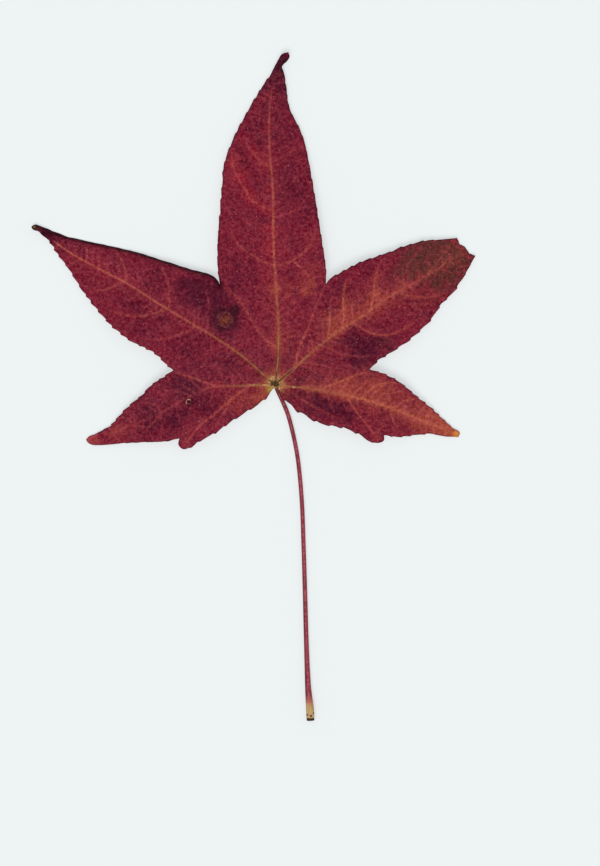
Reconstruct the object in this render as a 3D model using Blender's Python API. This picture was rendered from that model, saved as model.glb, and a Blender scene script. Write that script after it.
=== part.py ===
"""A pressed autumn sweetgum leaf: a five-lobed blade with its veins and its long stalk, grown as one piece.

The leaf lies on its underside. The origin is the small flat spot under the hub, where the stalk meets the
blade. +Y runs up the middle lobe, +X to the right-hand lobes, and +Z up from the surface that the leaf is on.
Every size is in millimetres until to_object turns it into metres.
"""

import math

import bpy
import numpy as np
from mathutils import Vector
from mathutils.geometry import delaunay_2d_cdt

# The blade
LAMINA = 0.3  # thickness between the veins
MARGIN_STEP = 2.0  # between points round the edge
GRID_STEP = 3.6  # between points inside the edge
VEIN_STEP = 3.0  # between points along a vein
CROWDING = 0.55  # a point nearer to another than this share of its own step is left out
VALLEY_RISE = 0.8  # how far the blade climbs away from its veins
VALLEY_WIDTH = 5.0
RIPPLE = 0.35  # height of the waves towards the edges
RIPPLE_LENGTHS = (41.0, 53.0)  # along X and Y
RIPPLE_FADE = 9.0  # the waves are full this far from a vein
BLEND_WIDTH = 3.0  # how softly one lobe's heights pass into the next one's
PROFILE_STEP = 1.0  # between the points where distances and heights along a vein are read
MERGE_WITHIN = 1e-5  # points nearer than this are one point to the triangulation

# The hub, where the veins meet over the stalk
FLAT_RADIUS = 1.0  # of the flat spot that the leaf rests on
FLAT_SIDES = 6
FLAT_SLACK = 0.01  # so that the points on the flat spot's rim count as on it
HUB_RINGS = (1.8, 2.8)  # radii of the points that shape the swelling round the flat spot
HUB_SIDES = 10

# The stalk. Its girth pairs a distance from its top end with the radius there.
STALK_GIRTH = (
    (0, 0.55), (3, 0.65), (8, 0.76), (20, 0.74), (55, 0.76), (75, 0.8), (88, 0.84), (98, 0.92), (105, 1.06),
    (109, 1.26), (112, 1.42), (116, 1.36),
)
STALK_ROUTE = (
    (0.0, -0.5), (0.9, -2.4), (2.4, -5.4), (4.35, -10.0), (6.4, -17.8), (7.9, -26.0), (9.2, -39.8),
    (9.8, -54.9), (10.3, -71.3), (10.75, -87.8), (11.4, -104.2), (12.0, -111.0), (12.2, -115.0),
)
STALK_HUB_LIFT = 0.12  # clear of the flat spot's plane where it joins the hub
STALK_LIFT_LENGTH = 8.0  # how far from the hub it has come down to the surface
STALK_SIDES = 12  # a multiple of 4, so that one corner points straight down at the surface
STALK_STEP = 3.0

# The veins' rounded ribs under the blade: depth and half width, at the hub and at the lobe's tip
RIB_DEPTH = (1.1, 0.15)
RIB_HALF_WIDTH = (1.0, 0.45)

# Each margin is a smooth curve through its points, and they follow each other clockwise round the leaf.
MARGINS = {
    "lower_left_base": (
        (-0.6, -1.4), (-1.4, -2.5), (-2.4, -3.9), (-3.4, -5.1), (-8.4, -8.6), (-15.0, -12.8), (-20.5, -16.7),
        (-26.0, -19.6), (-29.0, -21.7), (-31.2, -22.3), (-33.0, -20.7), (-32.7, -18.5),
    ),
    "lower_left_under": (
        (-32.7, -18.5), (-37.0, -19.5), (-45.0, -19.8), (-53.0, -20.2), (-60.0, -20.8), (-62.6, -20.7),
        (-64.2, -19.9), (-64.8, -18.9),
    ),
    "lower_left_over": (
        (-64.8, -18.9), (-63.9, -17.9), (-61.6, -16.9), (-56.8, -14.3), (-50.5, -7.8), (-45.0, -3.1),
        (-42.3, -0.2), (-38.5, 2.3), (-34.7, 4.8),
    ),
    "upper_left_under": (
        (-34.7, 4.8), (-37.2, 6.8), (-41.0, 10.5), (-49.8, 15.1), (-56.0, 20.1), (-61.0, 25.7), (-66.2, 32.5),
        (-71.0, 40.0), (-74.3, 44.2), (-76.0, 47.0), (-77.4, 49.0), (-79.4, 50.9), (-81.2, 52.4),
        (-82.5, 52.9), (-83.2, 53.9), (-82.1, 54.9),
    ),
    "upper_left_over": (
        (-82.1, 54.9), (-79.3, 54.0), (-76.2, 52.6), (-71.0, 50.7), (-58.0, 47.8), (-48.0, 45.5),
        (-38.0, 42.4), (-30.0, 39.8), (-23.0, 37.9), (-20.4, 36.6), (-18.8, 34.2),
    ),
    "middle_left": (
        (-18.8, 34.2), (-19.6, 40.0), (-19.5, 50.0), (-18.6, 62.0), (-18.0, 70.0), (-17.3, 76.0),
        (-13.2, 86.5), (-9.3, 93.7), (-4.7, 101.6), (-1.5, 106.2), (0.1, 109.2), (1.1, 111.4), (2.0, 112.7),
        (3.2, 113.4), (4.6, 113.7),
    ),
    "middle_right": (
        (4.6, 113.7), (5.0, 112.3), (4.4, 111.0), (2.4, 108.9), (3.0, 107.0), (4.0, 101.0), (4.9, 95.2),
        (9.6, 84.7), (11.8, 75.0), (14.1, 62.0), (15.6, 52.0), (17.4, 40.0), (17.4, 34.2),
    ),
    "upper_right_over": (
        (17.4, 34.2), (18.8, 36.0), (24.5, 39.4), (30.0, 42.1), (38.0, 44.9), (46.0, 47.9), (51.0, 49.2),
        (57.0, 49.6), (62.4, 50.2),
    ),
    "upper_right_torn": ((62.4, 50.2), (63.3, 48.1), (65.0, 47.3), (66.4, 45.2), (68.7, 44.1)),
    "upper_right_under": (
        (68.7, 44.1), (66.4, 39.9), (61.3, 31.8), (56.8, 27.1), (53.3, 22.0), (46.2, 15.3), (38.4, 10.0),
        (35.6, 8.4), (32.4, 5.1),
    ),
    "lower_right_over": (
        (32.4, 5.1), (36.6, 3.9), (41.7, 1.4), (48.0, -3.6), (54.5, -8.9), (61.0, -14.9), (63.4, -16.6),
        (62.8, -18.1),
    ),
    "lower_right_under": (
        (62.8, -18.1), (58.0, -17.8), (53.0, -16.9), (47.0, -17.5), (42.5, -18.0), (37.3, -17.4),
    ),
    "lower_right_base": (
        (37.3, -17.4), (37.3, -19.2), (34.8, -20.1), (32.2, -19.4), (27.0, -16.2), (21.5, -14.6),
        (15.5, -13.4), (9.9, -10.4), (7.5, -9.0), (5.5, -7.1), (3.9, -6.1), (2.9, -5.3), (2.0, -3.8),
        (1.2, -2.3), (0.5, -1.4), (-0.6, -1.4),
    ),
}

# Each lobe's main vein starts at the hub. "heights" pairs a distance along it with the height of the blade's
# underside there: the lobes arch over the surface and come down to it again near their tips.
LOBES = {
    "middle": {
        "route": (
            (0.0, 0.0), (0.8, 6.0), (1.2, 14.0), (0.9, 25.0), (0.2, 36.0), (-0.4, 46.0), (-0.6, 54.0),
            (-0.7, 66.0), (-1.8, 80.0), (-2.0, 90.0), (-1.2, 100.0), (1.0, 107.5), (4.5, 113.0),
        ),
        "heights": (
            (0, 1.1), (3, 1.6), (7, 2.2), (25, 2.7), (50, 2.5), (75, 1.1), (92, 0.25), (104, 0.6), (115, 2.0),
        ),
    },
    "upper_left": {
        "route": (
            (0.0, 0.0), (-4.6, 4.0), (-10.0, 8.8), (-20.0, 15.7), (-33.0, 23.5), (-42.0, 29.0), (-50.0, 34.2),
            (-60.0, 39.5), (-70.0, 45.0), (-76.5, 49.6), (-82.4, 54.0),
        ),
        "heights": ((0, 1.1), (3, 1.6), (7, 2.2), (25, 2.9), (50, 2.3), (75, 0.5), (88, 0.6), (99, 2.2)),
    },
    "upper_right": {
        "route": (
            (0.0, 0.0), (5.0, 4.2), (10.0, 8.7), (20.0, 17.0), (30.0, 23.4), (40.0, 30.6), (50.0, 36.0),
            (58.0, 41.2), (65.0, 46.2),
        ),
        "heights": ((0, 1.1), (3, 1.6), (7, 2.2), (22, 2.8), (45, 2.2), (65, 0.7), (80, 0.15)),
    },
    "lower_left": {
        "route": (
            (0.0, 0.0), (-5.0, -0.2), (-12.0, -0.5), (-21.0, -0.9), (-27.5, -3.2), (-38.0, -9.0),
            (-50.0, -14.4), (-64.0, -19.2),
        ),
        "heights": ((0, 1.1), (3, 1.6), (7, 2.2), (20, 2.5), (40, 1.9), (58, 0.6), (68, 0.15)),
    },
    "lower_right": {
        "route": (
            (0.0, 0.0), (5.0, -0.8), (10.0, -1.2), (20.0, -2.8), (30.0, -5.0), (40.0, -8.2), (50.0, -12.2),
            (62.5, -17.3),
        ),
        "heights": ((0, 1.1), (3, 1.6), (7, 2.2), (20, 2.6), (40, 1.8), (56, 0.4), (66, 0.3)),
    },
}

MM = 0.001
LEAF_COLOUR = (0.19, 0.018, 0.03, 1.0)
LEAF_ROUGHNESS = 0.5


def clear_scene():
    for old in list(bpy.data.objects):
        bpy.data.objects.remove(old, do_unlink=True)


def smooth_curve(points, step):
    """Points about step apart on the centripetal Catmull-Rom curve through the given points."""
    given = np.array(points, float)
    given = np.vstack([2 * given[0] - given[1], given, 2 * given[-1] - given[-2]])
    spans = [curve_span(corners, step) for corners in zip(given, given[1:], given[2:], given[3:])]
    return np.vstack([given[1:2], *spans])


def curve_span(corners, step):
    """The curve's points after the second of four corners, up to and with the third."""
    a, b, c, d = corners
    before, here, after = (math.sqrt(math.dist(*pair)) for pair in ((a, b), (b, c), (c, d)))
    leaving = (c - b) + here * ((b - a) / before - (c - a) / (before + here))
    arriving = (c - b) + here * ((d - c) / after - (d - b) / (here + after))
    count = max(1, round(math.dist(b, c) / step))
    t = np.linspace(0, 1, count + 1)[1:, None]
    ends = (1 + 2 * t) * (1 - t) ** 2 * b + (3 - 2 * t) * t**2 * c
    return ends + t * (1 - t) ** 2 * leaving - t**2 * (1 - t) * arriving


def distances_along(path):
    return np.concatenate([[0.0], np.cumsum(np.linalg.norm(np.diff(path, axis=0), axis=1))])


def blade_outline():
    """The closed edge of the blade. Each margin leaves out its last point, where the next one starts."""
    return np.vstack([smooth_curve(points, MARGIN_STEP)[:-1] for points in MARGINS.values()])


def inside(points, outline):
    """Which points lie inside the closed outline, by counting how many edges a ray to the right crosses."""
    found = np.zeros(len(points), bool)
    for (ax, ay), (bx, by) in zip(outline, np.roll(outline, -1, axis=0)):
        spans = (ay > points[:, 1]) != (by > points[:, 1])
        if ay != by:
            found ^= spans & (points[:, 0] < ax + (points[:, 1] - ay) * (bx - ax) / (by - ay))
    return found


def uncrowded(kept, candidates, gap):
    """The kept points, with each candidate added that is at least gap from all of them."""
    kept = list(kept)
    for point in candidates:
        if np.linalg.norm(np.array(kept) - point, axis=1).min() >= gap:
            kept.append(point)
    return np.array(kept)


def ring(radius, sides):
    turns = np.arange(sides) * math.tau / sides
    return radius * np.column_stack([np.cos(turns), np.sin(turns)])


def rib_rows(route):
    """Points down the middle of a vein and down both of its sides."""
    path = smooth_curve(route, VEIN_STEP)
    along = np.gradient(path, axis=0)
    across = np.column_stack([-along[:, 1], along[:, 0]]) / np.linalg.norm(along, axis=1)[:, None]
    half = np.linspace(*RIB_HALF_WIDTH, len(path))[:, None]
    return np.vstack([path, path + half * across, path - half * across])


def grid_points(outline):
    """A triangular grid of points over the leaf's extent."""
    low, high = outline.min(axis=0), outline.max(axis=0)
    row_step = GRID_STEP * math.sqrt(3) / 2
    rows = np.arange(low[1], high[1], row_step)
    columns = np.arange(low[0], high[0], GRID_STEP)
    return np.array([(x + GRID_STEP / 2 * (n % 2), y) for n, y in enumerate(rows) for x in columns])


def blade_points(outline):
    """The outline's points first, then those inside it: the hub's rings, the veins' rows and the grid."""
    points = np.vstack([outline, ring(FLAT_RADIUS, FLAT_SIDES)])
    hub = np.vstack([ring(radius, HUB_SIDES) for radius in HUB_RINGS])
    points = uncrowded(points, hub[inside(hub, outline)], FLAT_RADIUS * CROWDING)
    for lobe in LOBES.values():
        rows = rib_rows(lobe["route"])
        points = uncrowded(points, rows[inside(rows, outline)], RIB_HALF_WIDTH[0] * CROWDING)
    grid = grid_points(outline)
    return uncrowded(points, grid[inside(grid, outline)], GRID_STEP * CROWDING)


def vein_reach(points, lobe):
    """For each point, its distance from the lobe's main vein and how far along the vein it is."""
    path = smooth_curve(lobe["route"], PROFILE_STEP)
    apart = np.linalg.norm(points[:, None] - path[None], axis=2)
    nearest = apart.argmin(axis=1)
    return apart.min(axis=1), distances_along(path)[nearest], distances_along(path)[-1]


def between(ends, share):
    """The value at a share of the way from the first of two ends to the second."""
    return ends[0] + share * (ends[1] - ends[0])


def blade_heights(points):
    """The heights of the blade's underside, ribs included, and of its upper face at each point."""
    total, weights, depth = np.zeros((3, len(points)))
    nearest = np.full(len(points), np.inf)
    for lobe in LOBES.values():
        off, along, length = vein_reach(points, lobe)
        profile = smooth_curve(lobe["heights"], PROFILE_STEP)
        weight = 1 / (off**2 + BLEND_WIDTH**2) ** 2
        total += weight * np.interp(along, profile[:, 0], profile[:, 1])
        weights += weight
        nearest = np.minimum(nearest, off)
        half, deep = (between(ends, along / length) for ends in (RIB_HALF_WIDTH, RIB_DEPTH))
        depth = np.maximum(depth, deep * np.clip(1 - (off / half) ** 2, 0, None))
    under = total / weights + VALLEY_RISE * (1 - np.exp(-((nearest / VALLEY_WIDTH) ** 2)))
    under += RIPPLE * ripples(points) * (1 - np.exp(-((nearest / RIPPLE_FADE) ** 2)))
    under = np.maximum(under, 0.0)
    on_flat = np.linalg.norm(points, axis=1) < FLAT_RADIUS + FLAT_SLACK
    return np.where(on_flat, 0.0, np.maximum(under - depth, 0.0)), under + LAMINA


def ripples(points):
    turns = math.tau * points / RIPPLE_LENGTHS
    return np.sin(turns[:, 0]) * np.cos(turns[:, 1])


def blade_mesh():
    """The blade as a closed solid: one triangulation used for both faces, and a wall round the edge."""
    outline = blade_outline()
    edges = [(n, (n + 1) % len(outline)) for n in range(len(outline))]
    flat = [Vector(point) for point in blade_points(outline)]
    flat, _, faces, _, _, _ = delaunay_2d_cdt(flat, edges, [], 1, MERGE_WITHIN)
    points = np.array([tuple(point) for point in flat])
    under, over = blade_heights(points)
    count = len(points)
    corners = np.vstack([np.column_stack([points, under]), np.column_stack([points, over])])
    upper = [tuple(corner + count for corner in face) for face in faces]
    lower = [tuple(reversed(face)) for face in faces]
    return corners, upper + lower + edge_wall(faces, count)


def edge_wall(faces, count):
    """Quads that join the two faces of the blade along each edge that only one triangle has."""
    sides = {(a, b) for face in faces for a, b in zip(face, face[1:] + face[:1])}
    return [(a, b, b + count, a + count) for a, b in sorted(sides) if (b, a) not in sides]


def stalk_mesh():
    """The stalk as a closed tube along its route, lying on the surface once it has left the hub."""
    path = smooth_curve(STALK_ROUTE, STALK_STEP)
    along = distances_along(path)
    distance, radius = np.array(STALK_GIRTH).T
    radii = np.interp(along, distance, radius)
    lift = STALK_HUB_LIFT * np.clip(1 - along / STALK_LIFT_LENGTH, 0, None)
    ahead = np.gradient(path, axis=0)
    across = np.column_stack([-ahead[:, 1], ahead[:, 0]]) / np.linalg.norm(ahead, axis=1)[:, None]
    corners = []
    for centre, side, size, raised in zip(path, across, radii, lift):
        for turn in np.arange(STALK_SIDES) * math.tau / STALK_SIDES:
            out = size * math.cos(turn) * side
            corners.append((centre[0] + out[0], centre[1] + out[1], size + raised + size * math.sin(turn)))
    faces = [tuple(range(STALK_SIDES)), tuple(reversed(range(len(corners) - STALK_SIDES, len(corners))))]
    for start in range(0, len(corners) - STALK_SIDES, STALK_SIDES):
        for n in range(STALK_SIDES):
            a, b = start + n, start + (n + 1) % STALK_SIDES
            faces.append((a, a + STALK_SIDES, b + STALK_SIDES, b))
    return np.array(corners), faces


def to_object(name, corners, faces, material):
    mesh = bpy.data.meshes.new(name)
    mesh.from_pydata((corners * MM).tolist(), [], [tuple(map(int, face)) for face in faces])
    mesh.materials.append(material)
    made = bpy.data.objects.new(name, mesh)
    bpy.context.scene.collection.objects.link(made)
    return made


def leaf_material():
    material = bpy.data.materials.new("leaf_red")
    material.use_nodes = True
    shader = material.node_tree.nodes["Principled BSDF"]
    shader.inputs["Base Color"].default_value = LEAF_COLOUR
    shader.inputs["Roughness"].default_value = LEAF_ROUGHNESS
    shader.inputs["Metallic"].default_value = 0.0
    return material


def main():
    clear_scene()
    material = leaf_material()
    leaf = to_object("leaf", *blade_mesh(), material)
    stalk = to_object("stalk_to_join", *stalk_mesh(), material)
    stalk.hide_render = True
    stalk.display_type = "WIRE"
    join = leaf.modifiers.new("stalk", "BOOLEAN")
    join.operation = "UNION"
    join.object = stalk


main()
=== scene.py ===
"""The looks of a pressed autumn sweetgum leaf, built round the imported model.

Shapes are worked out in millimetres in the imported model's own frame, and turned into metres when a mesh is
made. The origin is the flat spot under the hub, +Y runs up the middle lobe and +Z up from the surface.
"""

import math

import bpy
import numpy as np
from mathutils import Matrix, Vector, noise
from mathutils.geometry import delaunay_2d_cdt
from mathutils.kdtree import KDTree


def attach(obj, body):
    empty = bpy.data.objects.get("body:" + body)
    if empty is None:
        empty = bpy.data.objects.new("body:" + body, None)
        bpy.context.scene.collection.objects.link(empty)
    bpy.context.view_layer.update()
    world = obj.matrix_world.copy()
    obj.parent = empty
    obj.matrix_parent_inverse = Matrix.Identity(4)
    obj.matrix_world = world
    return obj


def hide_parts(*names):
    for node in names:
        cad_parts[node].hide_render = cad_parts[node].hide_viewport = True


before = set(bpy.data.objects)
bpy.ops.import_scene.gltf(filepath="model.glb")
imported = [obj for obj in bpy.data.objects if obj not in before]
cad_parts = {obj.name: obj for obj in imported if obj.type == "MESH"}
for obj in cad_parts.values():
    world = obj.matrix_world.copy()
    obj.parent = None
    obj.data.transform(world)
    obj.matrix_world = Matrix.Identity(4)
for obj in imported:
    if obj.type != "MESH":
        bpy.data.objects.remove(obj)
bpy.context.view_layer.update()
MM = 0.001
SEED = 7

# The blade's sheet
LAMINA = 0.3
THINNEST = 0.12
EDGE_THINNING = 0.1  # how much lower the upper face is right at the edge
EDGE_THINNING_WIDTH = 0.5
OUTLINE_STEP = 0.35
VEIN_STEP = 0.4
GRID_STEP = 0.55
MAIN_ROWS = (0.0, 0.3, -0.3, 0.6, -0.6, 0.95, -0.95)  # how far each row of points is from its main vein
CROWDING = 0.2  # a vein's point nearer to another than this is left out
GRID_CROWDING = 0.33  # the same for a point of the grid between the veins

# Heights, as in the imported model
VALLEY_RISE = 0.8
VALLEY_WIDTH = 5.0
RIPPLE = 0.35
RIPPLE_LENGTHS = (41.0, 53.0)
RIPPLE_FADE = 9.0
BLEND_WIDTH = 3.0
RIB_DEPTH = (1.1, 0.15)
RIB_HALF_WIDTH = (1.0, 0.45)
RIB_ROUNDING = 0.55  # how narrow a rib's rounded top is, as a share of its half width
PROFILE_STEP = 1.0

# Finer relief of the upper face and the underside
QUILT_RISE = 0.13  # the sheet bulges between its side veins
QUILT_WIDTH = 1.7
CREASE_DEPTH = 0.12  # the two fine creases that run beside a main vein near the hub
CREASE_OFF = 0.42
CREASE_WIDTH = 0.17
CREASE_REACH = 26.0  # how far out they fade away
CREASE_FULL = 3.0  # they are deepest this close to it
WRINKLES = ((6.0, 0.12), (2.2, 0.045))  # length and height of each size of wrinkle
WRINKLE_START = (0.3, 2.5)  # distances from a main vein where they begin and are full
SIDE_RIB_DEPTH = 0.24
SIDE_RIB_WIDTH = 0.28
ROLL_DROP = 1.5  # the upper left lobe's upper margin is rolled down
ROLL_WIDTH = 2.6
TABLE_GAP = 0.02

# The stalk
STALK_GIRTH = (
    (0, 0.55), (3, 0.65), (8, 0.76), (20, 0.74), (55, 0.76), (75, 0.8), (88, 0.84), (98, 0.92), (105, 1.06),
    (109, 1.26), (112, 1.42), (116, 1.36),
)
STALK_ROUTE = (
    (0.0, -0.5), (0.9, -2.4), (2.4, -5.4), (4.35, -10.0), (6.4, -17.8), (7.9, -26.0), (9.2, -39.8),
    (9.8, -54.9), (10.3, -71.3), (10.75, -87.8), (11.4, -104.2), (12.0, -111.0), (12.2, -115.0),
)
STALK_HUB_LIFT = 0.12
STALK_LIFT_LENGTH = 8.0
STALK_SIDES = 32
STALK_STEP = 0.7
STALK_GROOVE = 0.05  # depth of the lengthwise grooves, as a share of the radius
STALK_GROOVES = 7
GROOVED_ABOVE = -0.5  # the stalk's bottom has none: the sine of the turn where they start
STALK_END_RINGS = ((0.93, 0.12), (0.72, -0.02), (0.38, -0.16))  # share of the radius, and how far out
STALK_DOTS = ((10.9, -113.1), (13.4, -112.5), (12.3, -113.4))  # dark scars beside the cut end
STREAK_STRETCH = 0.09  # the streaks are drawn out along the stalk
STALK_PEACH_BAND = (-105.5, -109.5)  # Y where each of the stalk's end colours begins and is full
STALK_TAN_BAND = (-108.6, -110.4)
STALK_END_BAND = (-113.9, -114.4)

# Each margin's fine teeth (their spacing and height, and whether the margin runs towards its lobe's tip), how
# dark the painted shade along its edge is, and its points. It is a smooth curve through them, and the margins
# follow each other clockwise round the leaf.
SMOOTH = (0.0, 0.0, True)
MARGINS = {
    "lower_left_base": ((5.0, 0.55, True), 0.5, (
        (-0.6, -1.4), (-1.4, -2.5), (-2.4, -3.9), (-3.4, -5.1), (-8.4, -8.6), (-15.0, -12.8), (-20.5, -16.7),
        (-26.0, -19.6), (-29.0, -21.7), (-31.2, -22.3), (-33.0, -20.7), (-32.7, -18.5),
    )),
    "lower_left_under": ((4.0, 0.12, True), 0.6, (
        (-32.7, -18.5), (-37.0, -19.5), (-45.0, -19.8), (-53.0, -20.2), (-60.0, -20.8), (-62.6, -20.7),
        (-64.2, -19.9), (-64.8, -18.9),
    )),
    "lower_left_over": ((3.1, 0.4, False), 0.4, (
        (-64.8, -18.9), (-63.9, -17.9), (-61.6, -16.9), (-56.8, -14.3), (-50.5, -7.8), (-45.0, -3.1),
        (-42.3, -0.2), (-38.5, 2.3), (-34.7, 4.8),
    )),
    "upper_left_under": ((3.5, 0.5, True), 0.1, (
        (-34.7, 4.8), (-37.2, 6.8), (-41.0, 10.5), (-49.8, 15.1), (-56.0, 20.1), (-61.0, 25.7), (-66.2, 32.5),
        (-71.0, 40.0), (-74.3, 44.2), (-76.0, 47.0), (-77.4, 49.0), (-79.4, 50.9), (-81.2, 52.4),
        (-82.5, 52.9), (-83.2, 53.9), (-82.1, 54.9),
    )),
    "upper_left_over": (SMOOTH, 0.9, (
        (-82.1, 54.9), (-79.3, 54.0), (-76.2, 52.6), (-71.0, 50.7), (-58.0, 47.8), (-48.0, 45.5),
        (-38.0, 42.4), (-30.0, 39.8), (-23.0, 37.9), (-20.4, 36.6), (-18.8, 34.2),
    )),
    "middle_left": ((4.6, 0.28, True), 0.55, (
        (-18.8, 34.2), (-19.6, 40.0), (-19.5, 50.0), (-18.6, 62.0), (-18.0, 70.0), (-17.3, 76.0),
        (-13.2, 86.5), (-9.3, 93.7), (-4.7, 101.6), (-1.5, 106.2), (0.1, 109.2), (1.1, 111.4), (2.0, 112.7),
        (3.2, 113.4), (4.6, 113.7),
    )),
    "middle_right": ((4.4, 0.18, False), 0.65, (
        (4.6, 113.7), (5.0, 112.3), (4.4, 111.0), (2.4, 108.9), (3.0, 107.0), (4.0, 101.0), (4.9, 95.2),
        (9.6, 84.7), (11.8, 75.0), (14.1, 62.0), (15.6, 52.0), (17.4, 40.0), (17.4, 34.2),
    )),
    "upper_right_over": ((4.3, 0.35, True), 0.6, (
        (17.4, 34.2), (18.8, 36.0), (24.5, 39.4), (30.0, 42.1), (38.0, 44.9), (46.0, 47.9), (51.0, 49.2),
        (57.0, 49.6), (62.4, 50.2),
    )),
    "upper_right_torn": (SMOOTH, 0.6, (
        (62.4, 50.2), (63.3, 48.1), (65.0, 47.3), (66.4, 45.2), (68.7, 44.1),
    )),
    "upper_right_under": ((4.6, 0.42, False), 0.45, (
        (68.7, 44.1), (66.4, 39.9), (61.3, 31.8), (56.8, 27.1), (53.3, 22.0), (46.2, 15.3), (38.4, 10.0),
        (35.6, 8.4), (32.4, 5.1),
    )),
    "lower_right_over": ((3.3, 0.4, True), 0.45, (
        (32.4, 5.1), (36.6, 3.9), (41.7, 1.4), (48.0, -3.6), (54.5, -8.9), (61.0, -14.9), (63.4, -16.6),
        (62.8, -18.1),
    )),
    "lower_right_under": ((4.2, 0.32, False), 0.5, (
        (62.8, -18.1), (58.0, -17.8), (53.0, -16.9), (47.0, -17.5), (42.5, -18.0), (37.3, -17.4),
    )),
    "lower_right_base": ((5.6, 0.6, False), 0.6, (
        (37.3, -17.4), (37.3, -19.2), (34.8, -20.1), (32.2, -19.4), (27.0, -16.2), (21.5, -14.6),
        (15.5, -13.4), (9.9, -10.4), (7.5, -9.0), (5.5, -7.1), (3.9, -6.1), (2.9, -5.3), (2.0, -3.8),
        (1.2, -2.3), (0.5, -1.4), (-0.6, -1.4),
    )),
}
TOOTH_TIP = 0.84  # where along its length a tooth stands out furthest
TOOTH_CURVE = 1.4
TOOTH_VARIATION = 0.3
TOOTH_SINK = 0.4  # share of a tooth's height that the edge between the teeth lies inside its margin
TOOTH_FADE = (2.5, 14.0)  # the teeth die away this far from a margin's start at the base, and from its tip
TOOTHLESS = 1.0  # none are this close to the tip
EDGE_NOISE = (0.16, 2.4)  # height and length of a margin's small unevenness
TORN_NOISE = (0.5, 0.96)  # the same on the torn end
NOISE_FADE = 1.0

# Each lobe's main vein: how clearly it shows at the hub and at the tip, how deep its side creases are
# near the hub and how dark the painted shade in them is, how far out from the hub a line of painted shade
# runs down its middle, its route, and the height of the blade's underside at distances along it
CORE_FULL = 0.6  # share of its length over which that dark line is at full strength
LOBES = {
    "middle": {
        "shows": (1.0, 0.45),
        "creases": 1.0,
        "core": 6.0,
        "route": (
            (0.0, 0.0), (0.8, 6.0), (1.2, 14.0), (0.9, 25.0), (0.2, 36.0), (-0.4, 46.0), (-0.6, 54.0),
            (-0.7, 66.0), (-1.8, 80.0), (-2.0, 90.0), (-1.2, 100.0), (1.0, 107.5), (4.5, 113.0),
        ),
        "heights": (
            (0, 1.1), (3, 1.6), (7, 2.2), (25, 2.7), (50, 2.5), (75, 1.1), (92, 0.25), (104, 0.6), (115, 2.0),
        ),
    },
    "upper_left": {
        "shows": (0.7, 0.8),
        "creases": 0.8,
        "core": 3.0,
        "route": (
            (0.0, 0.0), (-4.6, 4.0), (-10.0, 8.8), (-20.0, 15.7), (-33.0, 23.5), (-42.0, 29.0), (-50.0, 34.2),
            (-60.0, 39.5), (-70.0, 45.0), (-76.5, 49.6), (-82.4, 54.0),
        ),
        "heights": ((0, 1.1), (3, 1.6), (7, 2.2), (25, 2.9), (50, 2.3), (75, 0.5), (88, 0.6), (99, 2.2)),
    },
    "upper_right": {
        "shows": (1.0, 0.3),
        "creases": 0.0,
        "core": 11.0,
        "route": (
            (0.0, 0.0), (5.0, 4.2), (10.0, 8.7), (20.0, 17.0), (30.0, 23.4), (40.0, 30.6), (50.0, 36.0),
            (58.0, 41.2), (65.0, 46.2),
        ),
        "heights": ((0, 1.1), (3, 1.6), (7, 2.2), (22, 2.8), (45, 2.2), (65, 0.7), (80, 0.15)),
    },
    "lower_left": {
        "shows": (0.8, 0.0),
        "creases": 0.15,
        "core": 2.0,
        "route": (
            (0.0, 0.0), (-5.0, -0.2), (-12.0, -0.5), (-21.0, -0.9), (-27.5, -3.2), (-38.0, -9.0),
            (-50.0, -14.4), (-64.0, -19.2),
        ),
        "heights": ((0, 1.1), (3, 1.6), (7, 2.2), (20, 2.5), (40, 1.9), (58, 0.6), (68, 0.15)),
    },
    "lower_right": {
        "shows": (0.65, 1.0),
        "creases": 0.1,
        "core": 2.0,
        "route": (
            (0.0, 0.0), (5.0, -0.8), (10.0, -1.2), (20.0, -2.8), (30.0, -5.0), (40.0, -8.2), (50.0, -12.2),
            (62.5, -17.3),
        ),
        "heights": ((0, 1.1), (3, 1.6), (7, 2.2), (20, 2.6), (40, 1.8), (56, 0.4), (66, 0.3)),
    },
}

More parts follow.
